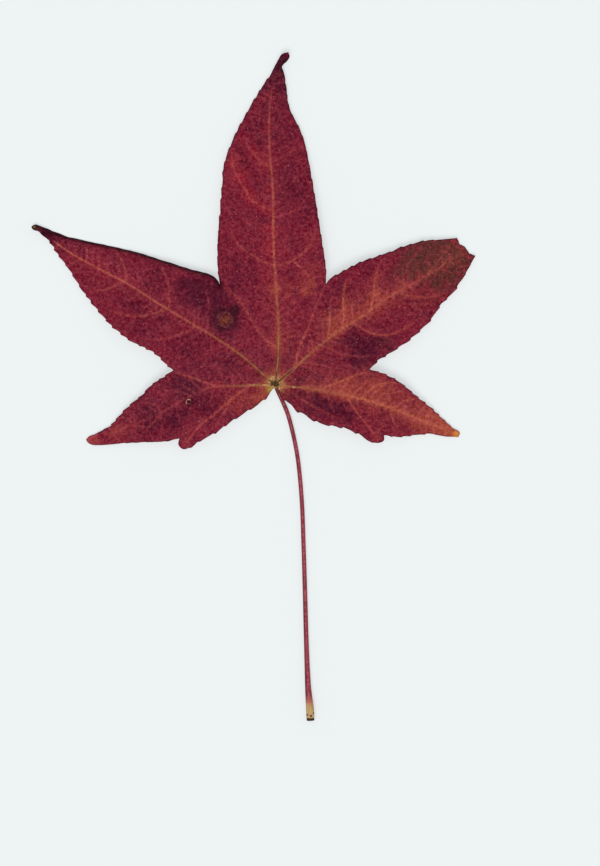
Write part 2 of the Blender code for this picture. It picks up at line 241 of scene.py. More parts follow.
# The side veins that show, each with how clearly it shows
SIDE_VEINS = (
    # to the sinuses beside the middle lobe
    (0.9, (
        (0.9, 12.6), (-2.6, 14.8), (-5.5, 18.0), (-7.6, 21.3), (-9.8, 25.3), (-13.0, 29.6), (-18.0, 34.0),
    )),
    (0.9, ((7.2, 6.3), (7.6, 10.0), (8.8, 14.0), (10.8, 18.0), (12.6, 22.6), (14.2, 27.0), (17.2, 33.8))),
    # the middle lobe
    (0.8, ((-0.1, 40.6), (-4.0, 42.0), (-8.0, 44.3), (-11.0, 46.3), (-13.5, 49.2), (-15.2, 52.5))),
    (0.8, ((-0.1, 40.4), (4.0, 41.4), (8.0, 43.5), (11.2, 46.6), (13.2, 50.2), (14.4, 54.0))),
    (0.6, ((6.0, 42.3), (9.0, 39.6), (11.4, 37.2), (12.4, 34.8))),
    (0.7, (
        (-0.7, 59.4), (-4.8, 61.0), (-8.0, 63.2), (-10.3, 66.8), (-12.6, 70.4), (-14.3, 74.4), (-14.9, 79.5),
    )),
    (0.5, ((-0.7, 57.0), (4.5, 58.4), (8.6, 60.8), (11.4, 64.8))),
    (0.65, ((-1.5, 74.2), (-4.5, 75.9), (-7.2, 78.6), (-9.0, 81.2), (-10.0, 84.6))),
    (0.4, ((-1.5, 76.0), (3.0, 78.4), (6.6, 80.2), (9.8, 81.4))),
    (0.35, ((-0.4, 50.8), (-4.0, 52.6), (-8.6, 54.6), (-12.0, 57.6))),
    (0.35, ((-2.0, 88.0), (-4.6, 91.4), (-6.2, 95.0))),
    (0.35, ((-2.0, 86.5), (1.2, 90.2), (2.4, 94.5))),
    (0.4, ((0.9, 25.0), (5.0, 26.8), (9.0, 29.8), (11.0, 31.4))),
    (0.4, ((1.1, 16.5), (3.4, 17.3), (6.2, 18.3), (7.6, 19.8))),
    # the upper left lobe
    (0.8, ((-51.2, 35.0), (-51.2, 38.2), (-51.9, 41.2), (-53.4, 44.0), (-55.4, 46.2))),
    (0.7, ((-52.2, 35.5), (-56.0, 33.2), (-60.0, 32.2), (-64.2, 33.0))),
    (0.8, ((-36.2, 25.5), (-36.1, 29.6), (-36.5, 34.2), (-37.8, 38.4), (-39.4, 41.4))),
    (0.8, ((-37.0, 25.9), (-41.2, 24.3), (-46.0, 23.3), (-51.2, 23.6), (-56.4, 25.2))),
    (0.6, ((-27.0, 19.9), (-31.2, 17.5), (-36.0, 16.0), (-41.2, 15.2), (-45.6, 15.8))),
    (0.5, ((-22.4, 17.2), (-22.9, 22.0), (-22.6, 27.0), (-23.7, 32.4))),
    (0.5, ((-60.6, 39.9), (-60.4, 42.4), (-61.4, 45.6))),
    (0.6, ((-64.8, 42.2), (-64.4, 45.2), (-65.2, 48.2))),
    (0.5, ((-66.0, 42.8), (-68.4, 41.8), (-70.6, 42.0))),
    (0.45, ((-14.0, 11.8), (-16.5, 9.2), (-20.5, 7.0), (-25.0, 5.8))),
    # the upper right lobe
    (0.85, ((23.2, 19.2), (23.5, 23.0), (23.3, 28.0), (23.7, 33.0), (24.8, 36.8))),
    (0.8, ((32.6, 25.3), (33.6, 30.0), (34.1, 35.0), (35.0, 39.2), (36.4, 42.6))),
    (0.7, ((17.2, 14.8), (18.4, 18.4), (18.8, 24.0), (19.2, 29.4))),
    # this vein lies along a crease, and its bright line is partly vein and partly painted highlight on the
    # crease
    (1.0, ((26.6, 21.3), (30.0, 18.9), (34.0, 17.3), (38.0, 16.8), (42.2, 18.0), (46.2, 20.4), (49.4, 22.8))),
    (0.6, ((17.6, 14.9), (20.0, 11.4), (24.0, 10.2), (28.4, 9.5), (33.4, 9.7))),
    (0.6, ((8.6, 7.5), (12.0, 7.4), (16.0, 6.5), (21.0, 5.3), (26.0, 5.2))),
    (0.6, ((41.4, 31.4), (45.4, 30.5), (50.0, 29.8), (54.0, 29.9), (58.0, 31.2))),
    (0.4, ((42.6, 32.2), (43.8, 37.0), (46.0, 41.6), (49.2, 45.6))),
    (0.4, ((52.0, 37.3), (55.0, 41.0), (57.8, 44.8), (60.2, 48.4))),
    # the lower right lobe
    (0.9, ((13.6, -1.7), (18.6, -0.5), (23.0, 1.2), (27.0, 2.8), (31.8, 4.4))),
    (0.9, ((24.2, -3.6), (26.5, -7.4), (29.5, -11.4), (33.0, -15.8), (34.9, -19.0))),
    (0.8, ((30.0, -5.2), (31.5, -3.0), (34.2, -0.6), (37.6, 0.4), (41.2, 0.6))),
    (0.6, ((3.0, -0.7), (8.0, -4.4), (13.0, -7.5), (19.0, -10.5), (24.2, -13.0))),
    (0.7, ((39.8, -8.1), (41.6, -7.6), (43.9, -5.9), (48.6, -4.6))),
    (0.7, ((39.6, -8.3), (40.0, -10.6), (41.0, -13.6), (43.4, -16.8))),
    (0.5, ((49.6, -12.0), (53.0, -10.9), (55.6, -10.8))),
    # the lower left lobe
    (1.0, ((-8.6, -0.4), (-13.0, -3.6), (-17.0, -7.0), (-21.2, -10.6), (-26.0, -14.6), (-31.0, -20.8))),
    (0.9, ((-19.6, -0.8), (-24.0, 0.7), (-28.0, 2.2), (-31.5, 3.2), (-34.2, 4.4))),
    (0.6, ((-14.8, -5.1), (-16.4, -8.2), (-18.9, -11.8), (-20.4, -15.2))),
    (0.45, ((-28.6, -3.9), (-33.0, -2.4), (-38.2, -2.4))),
    (0.45, ((-38.0, -9.0), (-42.0, -6.8), (-46.2, -6.0))),
    (0.5, ((-38.6, -9.3), (-41.6, -12.9), (-44.8, -16.4))),
    (0.45, ((-50.0, -14.4), (-53.0, -15.6), (-57.2, -18.8))),
)
SIDE_VEIN_FADE = 0.55  # how much of a side vein's showing is lost by its far end

# Faint veins in between, worked out along each main vein
FAINT_GAP = (0.69, 1.84)
FAINT_ANGLE = math.radians(66)
FAINT_BEND = math.radians(-14)  # each one turns towards the tip as it goes out
FAINT_LENGTH = (4.0, 11.0)
FAINT_SHOWS = (0.15, 0.45)
FAINT_START = 9.0
FAINT_STOP = 8.0
FAINT_STEPS = 4
FAINT_WANDER = (0.12, 0.1)  # radians of chance at the start, and at each step

# Soft patches of colour: x, y, radius and strength
DARK_PATCHES = (
    (-25, 31, 7, 0.9), (-19, 28, 5, 0.7), (-30, 34, 5, 0.6), (-41, 37, 6, 0.3), (-49, 27, 5, 0.45),
    (-43, 19, 5, 0.4), (-31, 12, 4, 0.5), (-53, 43, 4, 0.4), (-79, 51.5, 5, 1.7), (-70, 48, 5, 0.4),
    (-14, 35, 5, 0.6), (-10, 40, 4, 0.3), (7, 74, 6, 0.4), (11, 62, 5, 0.4), (6, 66, 4, 0.3),
    (1, 106, 4, 1.3), (-2, 101, 5, 0.5), (3, 111, 3.5, 1.55), (4, 100, 4, 0.5), (-9, 77, 4, 0.3),
    (20, 32, 4, 0.45), (27, 12.5, 6, 0.8), (34, 13.5, 5, 0.75), (22, 16, 4, 0.35), (40, 13, 3, 0.5),
    (30, 8, 4, 0.55), (54, 35, 3, 0.5), (56, 41, 6, 0.45), (50, 26, 4, 0.45), (33, 40, 4, 0.4),
    (13, -6, 5, 0.85), (19, -8, 5, 0.85), (25, -10, 4, 0.6), (10, 3.5, 4, 0.35), (20, 4, 3.5, 0.5),
    (7, -3, 3, 0.45), (38, -12, 3, 0.35), (35, -16, 3, 0.2), (-32, 0, 5, 0.8), (-28, -1.5, 4, 0.8),
    (-43, -9, 5, 0.55), (-39, -14, 5, 0.6), (-45, -16, 4, 0.5), (-24, -8, 5, 0.7), (-31, -10, 4, 0.45),
    (-34, -13, 4, 0.4), (-15.5, -11.5, 3, 0.6), (-49, -8, 3, 0.35), (-22, 5, 5, 0.3), (4, 10, 3, 0.25),
    (16, 17, 4, 0.25), (-14, 6, 5, 0.35), (-15, 12.5, 5, 0.4), (-26, 18, 6, 0.4), (-38, 26, 5, 0.2),
    (-46, 31, 6, 0.2), (-5, 92, 5, 0.5), (3.5, 91, 5, 0.45), (-4, 84, 4, 0.4), (2, 84, 4, 0.4),
    (3, 66, 4, 0.35), (-4, 67, 4, 0.35), (-9, 66, 4, 0.25), (-34, -7, 4, 0.2), (-26, 4, 4, 0.2),
    (-45, -11, 5, 0.15), (17, 24, 4, 0.3), (24, 30, 5, 0.3), (34, 24, 3, 0.2), (-5, 6, 4, 0.2),
)
WARM_PATCHES = (
    (45, -8, 9, 0.38), (55, -12, 8, 0.85), (61, -16, 5, 1.1), (36, -17, 3.5, 0.3), (37, -2, 6, 0.6),
    (30, 2, 5, 0.45), (32, -7, 5, 0.3), (12, -1.5, 4, 0.45), (20, -1, 5, 0.45), (12, 13, 8, 0.25),
    (20, 20, 6, 0.5), (28, 25, 6, 0.45), (36, 29, 6, 0.45), (44, 33, 5, 0.4), (52, 38, 4, 0.35),
    (62, 44, 7, 0.6), (-4, -4, 3, 1.2), (-9, -5.5, 4, 0.5), (-15, -6, 4, 0.35), (10, 36, 6, 0.3),
    (10.6, 32, 1.8, 0.7), (13, 34.6, 1.3, 0.5), (14, 42, 5, 0.25), (0, 2, 5, 0.5), (-63, -19.5, 2.5, 0.3),
    (-54, -16, 6, 0.35), (-30, -18, 4, 0.3), (-13, 76, 4, 0.35), (12, 50, 3, 0.25), (56, 30, 3, 0.25),
    (23.5, 27, 2.5, 0.5), (23.8, 33, 2.5, 0.4), (33.5, 31, 2.5, 0.45), (34.6, 37, 2.5, 0.35),
    (18.8, 22, 2.5, 0.4), (22, -1.5, 3, 0.5), (26, -3.5, 3, 0.6), (24, 1.5, 2.5, 0.35), (1, 14, 5, 0.35),
    (1, 22, 5, 0.2), (-1.5, 32, 4, 0.35), (4, 32, 4, 0.3), (48, 26, 5, 0.25), (52, 29, 4, 0.2),
)
OLIVE_PATCHES = (
    (51, 43.5, 7.5, 1.3), (58, 37.5, 6, 1.2), (63, 44, 5, 0.95), (57, 46, 4, 0.5), (46, 40, 5, 0.6),
    (40, 36, 4, 0.25), (37, 15, 3, 0.35), (5.5, 12, 3, 0.25), (-1, 35, 3, 0.15), (6, 0.5, 8, 0.22),
    (13, 7, 6, 0.16), (-6, 2.5, 8, 0.17), (28, 0, 6, 0.1),
)
SCARLET_PATCHES = (
    (-2, 46, 3.5, 0.9), (-1.5, 53, 2.5, 0.9), (-1.5, 60, 2, 0.7), (-2, 67, 2, 0.7), (-2.5, 36, 4, 0.6),
    (-50, 41, 8, 0.2), (-5, 76, 4, 0.25), (-5, 60, 4, 0.15), (-9, 65, 3, 1.0), (-12, 70.5, 3, 1.1),
    (-14.4, 76, 2.5, 0.9), (-7.5, 79, 2.5, 0.7), (-10.5, 84, 2.5, 0.7), (-4, 75.5, 2.5, 0.5),
    (-5.5, 60.5, 2.5, 0.6),
)
PATCH_WARP = 1.6
PATCH_WARP_LENGTH = 5.0
PATCH_WARP_SHIFTS = (0.0, 40.0)  # where the moves along X and along Y are read, so that they differ

# What the blade's materials are told at each point
BLADE_VALUES = (
    "main_off", "side_off", "side_shows", "along", "main_shows", "creases", "core", "edge_off", "edge_shading",
    "roll_off", "dark", "warm", "olive", "scarlet",
)

# The leaf's marks: the hub, a round dead spot and a small ring
HUB_AT = (0.0, 0.0)
HUB_HALO = 4.4
HUB_YELLOW_AT = (-1.7, -1.8)
SPOT_AT = (-17.2, 22.2)
SPOT_DEEPEST_AT = (-13.4, 25.4)
SPOT_CORE = 2.5
SPOT_RING = 5.2
SMALL_SPOT_AT = (-29.4, -6.0)
SMALL_SPOT_RING = 0.85

# The finest veins' two meshes: cell size, the size and amount of their bending, and how far from its middle a
# line ends and is full
NETWORK = ((2.4, (2.5, 1.1), (0.15, 0.01)), (0.95, (1.2, 0.4), (0.2, 0.02)))
SPECK_SPACING = 1.9

# Each surface's roughness, how much that varies, its specular level and the depth of its bumps
UPPER_GLOSS = (0.42, 0.16, 0.05, 0.06)
UNDER_GLOSS = (0.62, 0.14, 0.18, 0.08)
STALK_GLOSS = (0.4, 0.15, 0.15, 0.07)

# Colours are linear, as the shader takes them.
CRIMSON = (0.174, 0.0122, 0.0290)
MAROON = (0.078, 0.0050, 0.0185)
NEAR_BLACK = (0.022, 0.0016, 0.0062)
SCARLET = (0.255, 0.0140, 0.0280)
RUST = (0.289, 0.0440, 0.0345)
ORANGE = (0.430, 0.0960, 0.0600)
ROSE_RED = (0.290, 0.0290, 0.0430)
SPOT_PURPLE = (0.054, 0.0030, 0.0128)
HUB_CREAM = (0.66, 0.45, 0.20)
VEIN_ROSE = (0.40, 0.066, 0.070)
OCHRE = (0.25, 0.072, 0.030)
VEIN_GOLD = (0.36, 0.135, 0.048)
TAN = (0.50, 0.290, 0.105)
SPOT_ORANGE = (0.225, 0.060, 0.020)
SPOT_BROWN = (0.135, 0.024, 0.016)
TIP_BULB_COLOUR = (0.30, 0.17, 0.06)
TIP_YELLOW = (0.55, 0.21, 0.025)
HUB_YELLOW = (0.36, 0.23, 0.035)
OLIVE = (0.082, 0.0225, 0.0190)
DARK_OLIVE = (0.036, 0.018, 0.0065)
SPECK_PINK = (0.5, 0.22, 0.19)
# painted sheen: the tint of the fine speckle that stands in for glints of the leaf's fine relief
SHEEN_GRAIN_TINT = (0.22, 0.062, 0.072)  # added in full where the grain is at its lightest
DARKEST = (0.012, 0.0012, 0.003)
UNDER_ROSE = (0.30, 0.105, 0.095)
UNDER_DUSK = (0.20, 0.062, 0.066)
UNDER_VEIN = (0.46, 0.21, 0.12)
STALK_RED = (0.195, 0.0135, 0.036)
# painted highlight along the stalk
STALK_HIGHLIGHT = (0.50, 0.160, 0.155)
STALK_BROWN = (0.125, 0.026, 0.026)
STALK_ROSE = (0.310, 0.042, 0.066)
# painted shade down one side of the stalk
STALK_SHADE = (0.135, 0.0110, 0.020)
STALK_PEACH = (0.52, 0.20, 0.13)
STALK_OLIVE = (0.36, 0.24, 0.09)
STALK_TAN = (0.54, 0.35, 0.155)
STALK_END = (0.030, 0.0110, 0.003)

# The odd tips, the upper left lobe's bulb first: centre, colour, where it starts and is full, and strength
ODD_TIPS = (
    ((-82.3, 54.0), DARK_OLIVE, 1.4, 0.8, 1.0),
    ((-82.3, 54.0), TIP_BULB_COLOUR, 0.64, 0.24, 1.0),
    ((-63.0, -19.4), VEIN_ROSE, 4.5, 1.5, 0.55),
    ((62.6, -17.2), ORANGE, 7.0, 1.0, 0.5),
    ((62.6, -17.2), TIP_YELLOW, 2.4, 0.6, 0.85),
)

# The view: what lies in the middle of it, and how much of the surface its long side takes in
VIEW_CENTRE = (8.57, -16.63)
VIEW_LENGTH = 297.0
LENS = 120.0
SENSOR = 36.0

# The floor, in metres, and the light
FLOOR_SIZE = 9.0
FLOOR_DROP = 0.00003
FLOOR_COLOUR = (0.317, 0.332, 0.335)
FLOOR_GLOW = 0.6  # how strongly the floor glows, which keeps the shadows faint
WORLD_SEEN = (0.855, 0.896, 0.905)
WORLD_LIGHT = 0.62
SUN_STRENGTH = 1.76
SUN_ANGLE = math.radians(38)
SUN_TURN = (math.radians(35), 0.0, math.radians(-12))


def smooth_curve(points, step):
    """Points about step apart on the centripetal Catmull-Rom curve through the given points."""
    given = np.array(points, float)
    given = np.vstack([2 * given[0] - given[1], given, 2 * given[-1] - given[-2]])
    spans = [curve_span(corners, step) for corners in zip(given, given[1:], given[2:], given[3:])]
    return np.vstack([given[1:2], *spans])


def curve_span(corners, step):
    """The curve's points after the second of four corners, up to and with the third."""
    a, b, c, d = corners
    before, here, after = (math.sqrt(math.dist(*pair)) for pair in ((a, b), (b, c), (c, d)))
    leaving = (c - b) + here * ((b - a) / before - (c - a) / (before + here))
    arriving = (c - b) + here * ((d - c) / after - (d - b) / (here + after))
    count = max(1, round(math.dist(b, c) / step))
    t = np.linspace(0, 1, count + 1)[1:, None]
    ends = (1 + 2 * t) * (1 - t) ** 2 * b + (3 - 2 * t) * t**2 * c
    return ends + t * (1 - t) ** 2 * leaving - t**2 * (1 - t) * arriving


def distances_along(path):
    return np.concatenate([[0.0], np.cumsum(np.linalg.norm(np.diff(path, axis=0), axis=1))])


def left_of(path):
    """The unit direction to the left of a path at each of its points."""
    ahead = np.gradient(path, axis=0)
    return np.column_stack([-ahead[:, 1], ahead[:, 0]]) / np.linalg.norm(ahead, axis=1)[:, None]


def smooth_step(value, low, high):
    """A soft step from 0 at low to 1 at high, or down where low is above high."""
    share = np.clip((value - low) / (high - low), 0, 1)
    return share * share * (3 - 2 * share)


def noise_at(points, length):
    """Smooth noise from -1 to 1 at each 2-D point, with features about length across."""
    return np.array([noise.noise(Vector((x / length, y / length, SEED))) for x, y in points])


def teeth_along(along, spacing, height, towards_tip, draws):
    """How far the teeth stand out of a margin at each distance along it."""
    length = along[-1]
    from_base = along if towards_tip else length - along
    starts = [0.0]
    while starts[-1] < length:
        starts.append(starts[-1] + spacing * draws.uniform(1 - TOOTH_VARIATION, 1 + TOOTH_VARIATION))
    starts = np.array(starts)
    sizes = height * draws.uniform(1 - TOOTH_VARIATION, 1 + TOOTH_VARIATION, len(starts))
    which = np.clip(np.searchsorted(starts, from_base, side="right") - 1, 0, len(starts) - 2)
    phase = (from_base - starts[which]) / (starts[which + 1] - starts[which])
    rising = (phase / TOOTH_TIP) ** TOOTH_CURVE
    falling = 1 - smooth_step(phase, TOOTH_TIP, 1.0)
    fade = smooth_step(from_base, 0, TOOTH_FADE[0])
    fade *= smooth_step(length - from_base, TOOTHLESS, TOOTH_FADE[1])
    return sizes[which] * (np.where(phase < TOOTH_TIP, rising, falling) - TOOTH_SINK) * fade


def margin_path(name, draws):
    """One margin with its teeth and small unevenness, without its last point."""
    (spacing, height, towards_tip), _, points = MARGINS[name]
    path = smooth_curve(points, OUTLINE_STEP)
    along = distances_along(path)
    out = np.zeros(len(path))
    if height:
        out += teeth_along(along, spacing, height, towards_tip, draws)
    rough, rough_length = TORN_NOISE if name.endswith("torn") else EDGE_NOISE
    ends = smooth_step(along, 0, NOISE_FADE) * smooth_step(along[-1] - along, 0, NOISE_FADE)
    out += rough * ends * noise_at(path, rough_length)
    return (path + out[:, None] * left_of(path))[:-1]


def faint_veins(draws):
    """Faint side veins on alternate sides of every main vein."""
    made = []
    for lobe in LOBES.values():
        path = smooth_curve(lobe["route"], 0.5)
        along, left = distances_along(path), left_of(path)
        ahead = np.column_stack([left[:, 1], -left[:, 0]])
        side, at = 1, FAINT_START
        while at < along[-1] - FAINT_STOP:
            n = int(np.searchsorted(along, at))
            turn = FAINT_ANGLE + draws.uniform(-FAINT_WANDER[0], FAINT_WANDER[0])
            length = draws.uniform(*FAINT_LENGTH) * (1 - 0.5 * at / along[-1])
            steps = [path[n]]
            for _ in range(FAINT_STEPS):
                way = math.cos(turn) * ahead[n] + side * math.sin(turn) * left[n]
                steps.append(steps[-1] + length / FAINT_STEPS * way)
                turn += FAINT_BEND / FAINT_STEPS + draws.uniform(-FAINT_WANDER[1], FAINT_WANDER[1])
            made.append((draws.uniform(*FAINT_SHOWS), steps))
            side, at = -side, at + draws.uniform(*FAINT_GAP)
    return made


def inside(points, outline):
    """Which points lie inside the closed outline, by counting how many edges a ray to the right crosses."""
    found = np.zeros(len(points), bool)
    for (ax, ay), (bx, by) in zip(outline, np.roll(outline, -1, axis=0)):
        if ay != by:
            spans = (ay > points[:, 1]) != (by > points[:, 1])
            found ^= spans & (points[:, 0] < ax + (points[:, 1] - ay) * (bx - ax) / (by - ay))
    return found


def add_apart(kept, cells, candidates, gap):
    """Adds to kept each candidate at least gap from the points there. cells is a hash of their places."""
    for x, y in candidates:
        column, row = math.floor(x / GRID_STEP), math.floor(y / GRID_STEP)
        near = (p for i in (-1, 0, 1) for j in (-1, 0, 1) for p in cells.get((column + i, row + j), ()))
        if all((p[0] - x) ** 2 + (p[1] - y) ** 2 >= gap * gap for p in near):
            kept.append((x, y))
            cells.setdefault((column, row), []).append((x, y))


def grid_points(outline):
    low, high = outline.min(axis=0), outline.max(axis=0)
    columns = np.arange(low[0], high[0], GRID_STEP)
    rows = np.arange(low[1], high[1], GRID_STEP * math.sqrt(3) / 2)
    x, y = np.meshgrid(columns, rows)
    x = x + GRID_STEP / 2 * (np.arange(len(rows))[:, None] % 2)
    return np.column_stack([x.ravel(), y.ravel()])


def blade_points(outline, side_veins):
    """The outline's points first, then those inside it: along the veins and on a triangular grid."""
    kept, cells = [], {}
    add_apart(kept, cells, outline, 0.0)
    for lobe in LOBES.values():
        path = smooth_curve(lobe["route"], VEIN_STEP)
        rows = np.vstack([path + off * left_of(path) for off in MAIN_ROWS])
        add_apart(kept, cells, rows[inside(rows, outline)], CROWDING)
    for _, route in side_veins:
        path = smooth_curve(route, VEIN_STEP)
        add_apart(kept, cells, path[inside(path, outline)], CROWDING)
    grid = grid_points(outline)
    add_apart(kept, cells, grid[inside(grid, outline)], GRID_CROWDING)
    return np.array(kept)


def tree_of(paths):
    """A tree of all the points on several paths."""
    points = np.vstack(paths)
    tree = KDTree(len(points))
    for n, (x, y) in enumerate(points):
        tree.insert((x, y, 0), n)
    tree.balance()
    return tree


def nearest_on(paths, points):
    """For each point, the distance to the nearest point on the paths, and that point's number."""
    tree = tree_of(paths)
    found = [tree.find((x, y, 0)) for x, y in points]
    return np.array([f[2] for f in found]), np.array([f[1] for f in found])


def patches_at(points, patches):
    """The sum of the soft patches at each point."""
    total = np.zeros(len(points))
    for x, y, radius, strength in patches:
        total += strength * np.exp(-((points[:, 0] - x) ** 2 + (points[:, 1] - y) ** 2) / radius**2)
    return total


def between(ends, share):
    """The value at a share of the way from the first of two ends to the second."""
    return ends[0] + share * (ends[1] - ends[0])


class Blade:
    """The blade's points with what is known at each of them. BLADE_VALUES lists what its materials use."""

    def __init__(self):
        draws = np.random.default_rng(SEED)
        margins = [margin_path(name, draws) for name in MARGINS]
        self.outline = np.vstack(margins)
        # how dark the painted shade along each margin's edge is
        margin_shades = [MARGINS[name][1] for name in MARGINS]
        self.outline_shading = np.repeat(margin_shades, [len(margin) for margin in margins])
        self.side_veins = [*SIDE_VEINS, *faint_veins(draws)]
        flat = [Vector(p) for p in blade_points(self.outline, self.side_veins)]
        edges = [(n, (n + 1) % len(self.outline)) for n in range(len(self.outline))]
        flat, _, self.faces, _, _, _ = delaunay_2d_cdt(flat, edges, [], 1, 1e-6)
        self.points = np.array([tuple(p) for p in flat])
        self.measure_veins()
        self.measure_colour()
        self.measure_heights()

    def measure_veins(self):
        """Distances to the veins and to the edge, and how far along its main vein each point is."""
        self.main_off = np.full(len(self.points), np.inf)
        self.along, self.main_shows, self.creases, self.core = np.zeros((4, len(self.points)))
        self.reaches = []
        for lobe in LOBES.values():
            path = smooth_curve(lobe["route"], VEIN_STEP)
            off, number = nearest_on([path], self.points)
            distance = distances_along(path)
            self.reaches.append((lobe, off, distance[number], distance[-1]))
            closer = off < self.main_off
            out = distance[number[closer]]
            self.main_off[closer] = off[closer]
            self.along[closer] = out / distance[-1]
            self.main_shows[closer] = between(lobe["shows"], self.along[closer])
            self.creases[closer] = lobe["creases"] * smooth_step(out, CREASE_REACH, CREASE_FULL)
            self.core[closer] = smooth_step(out, lobe["core"], CORE_FULL * lobe["core"])
        paths = [smooth_curve(route, VEIN_STEP / 2) for _, route in self.side_veins]
        shows = np.concatenate([
            show * (1 - SIDE_VEIN_FADE * np.linspace(0, 1, len(path)) ** 2)
            for path, (show, _) in zip(paths, self.side_veins)
        ])
        self.side_off, number = nearest_on(paths, self.points)
        self.side_shows = shows[number]
        self.edge_off, number = nearest_on([self.outline], self.points)
        self.edge_shading = self.outline_shading[number]
        rolled = smooth_curve(MARGINS["upper_left_over"][-1], OUTLINE_STEP)
        self.roll_off, _ = nearest_on([rolled], self.points)

    def measure_colour(self):
        """How dark, warm, olive and scarlet the blade is at each point."""
        warps = [noise_at(self.points + shift, PATCH_WARP_LENGTH) for shift in PATCH_WARP_SHIFTS]
        warped = self.points + PATCH_WARP * np.column_stack(warps)
        tables = (DARK_PATCHES, WARM_PATCHES, OLIVE_PATCHES, SCARLET_PATCHES)
        self.dark, self.warm, self.olive, self.scarlet = (patches_at(warped, table) for table in tables)

    def measure_heights(self):
        """The underside with its ribs, and the upper face with its creases, bulges and wrinkles."""
        total, weights, rib = np.zeros((3, len(self.points)))
        for lobe, off, along, length in self.reaches:
            profile = smooth_curve(lobe["heights"], PROFILE_STEP)
            weight = 1 / (off**2 + BLEND_WIDTH**2) ** 2
            total += weight * np.interp(along, profile[:, 0], profile[:, 1])
            weights += weight
            half, depth = (between(ends, along / length) for ends in (RIB_HALF_WIDTH, RIB_DEPTH))
            rib = np.maximum(rib, depth * np.exp(-((off / (RIB_ROUNDING * half)) ** 2)))
        sheet = total / weights + VALLEY_RISE * (1 - np.exp(-((self.main_off / VALLEY_WIDTH) ** 2)))
        turns = math.tau * self.points / RIPPLE_LENGTHS
        waves = np.sin(turns[:, 0]) * np.cos(turns[:, 1])
        sheet += RIPPLE * waves * (1 - np.exp(-((self.main_off / RIPPLE_FADE) ** 2)))
        away = smooth_step(self.main_off, *WRINKLE_START)
        for length, height in WRINKLES:
            sheet += height * away * noise_at(self.points, length)
        sheet -= ROLL_DROP * np.clip(1 - self.roll_off / ROLL_WIDTH, 0, None) ** 2
        sheet = np.maximum(sheet, TABLE_GAP)
        side_rib = SIDE_RIB_DEPTH * self.side_shows * np.exp(-((self.side_off / SIDE_RIB_WIDTH) ** 2))
        self.under = np.maximum(sheet - np.maximum(rib, side_rib), TABLE_GAP)
        bulge = QUILT_RISE * (1 - np.exp(-((np.minimum(self.side_off, self.main_off) / QUILT_WIDTH) ** 2)))
        crease = self.creases * CREASE_DEPTH * np.exp(-(((self.main_off - CREASE_OFF) / CREASE_WIDTH) ** 2))
        thin = EDGE_THINNING * np.exp(-self.edge_off / EDGE_THINNING_WIDTH)
        self.over = np.maximum(sheet + LAMINA + bulge - crease - thin, self.under + THINNEST)


def new_piece(name, corners, faces, materials, slots):
    """A mesh object in metres from corners in millimetres, smooth-shaded, with each face's material slot."""
    mesh = bpy.data.meshes.new(name)
    mesh.from_pydata((corners * MM).tolist(), [], faces)
    for material in materials:
        mesh.materials.append(material)
    mesh.polygons.foreach_set("material_index", slots)
    mesh.shade_smooth()
    piece = bpy.data.objects.new(name, mesh)
    bpy.context.scene.collection.objects.link(piece)
    return piece


def add_values(piece, name, values):
    attribute = piece.data.attributes.new(name, "FLOAT", "POINT")
    attribute.data.foreach_set("value", np.asarray(values, np.float32))


def edge_wall(faces, count):
    """Quads that join the blade's two faces along each edge that only one triangle has."""
    sides = {(a, b) for face in faces for a, b in zip(face, face[1:] + face[:1])}
    return [(a, b, b + count, a + count) for a, b in sorted(sides) if (b, a) not in sides]


def make_blade():
    blade = Blade()
    count = len(blade.points)
    faces = [tuple(face) for face in blade.faces]
    upper = [tuple(corner + count for corner in face) for face in faces]
    lower = [tuple(reversed(face)) for face in faces]
    wall = edge_wall(faces, count)
    corners = np.vstack([np.column_stack([blade.points, z]) for z in (blade.under, blade.over)])
    slots = [0] * len(upper) + [1] * len(lower) + [0] * len(wall)
    piece = new_piece("blade", corners, upper + lower + wall, (upper_material(), under_material()), slots)
    for name in BLADE_VALUES:
        add_values(piece, name, np.tile(getattr(blade, name), 2))
    return piece


def make_stalk():
    """The stalk: a grooved tube that flares towards its cut end, which is slightly hollow."""
    path = smooth_curve(STALK_ROUTE, STALK_STEP)
    along, left = distances_along(path), left_of(path)
    radii = np.interp(along, *np.array(STALK_GIRTH).T)
    lifts = radii + STALK_HUB_LIFT * np.clip(1 - along / STALK_LIFT_LENGTH, 0, None)
    ahead = np.array([left[-1][1], -left[-1][0]])
    turns = np.arange(STALK_SIDES) * math.tau / STALK_SIDES
    grooved = 1 - STALK_GROOVE * (0.5 + 0.5 * np.cos(STALK_GROOVES * turns)) * (np.sin(turns) > GROOVED_ABOVE)
    rings = [(path[n], left[n], radii[n], lifts[n]) for n in range(len(path))]
    for share, out in STALK_END_RINGS:
        rings.append((path[-1] + out * ahead, left[-1], share * radii[-1], radii[-1]))
    corners = []
    for centre, side, size, lift in rings:
        across, up = size * grooved * np.cos(turns), size * grooved * np.sin(turns)
        corners.append(np.column_stack([centre + across[:, None] * side, lift + up]))
    corners = np.vstack(corners)
    corners[:, 2] = np.maximum(corners[:, 2], TABLE_GAP)
    faces = [tuple(range(STALK_SIDES)), tuple(reversed(range(len(corners) - STALK_SIDES, len(corners))))]
    for start in range(0, len(corners) - STALK_SIDES, STALK_SIDES):
        for n in range(STALK_SIDES):
            a, b = start + n, start + (n + 1) % STALK_SIDES
            faces.append((a, a + STALK_SIDES, b + STALK_SIDES, b))
    piece = new_piece("stalk", corners, faces, (stalk_material(),), [0] * len(faces))
    add_values(piece, "across", np.tile(np.cos(turns), len(rings)))
    return piece


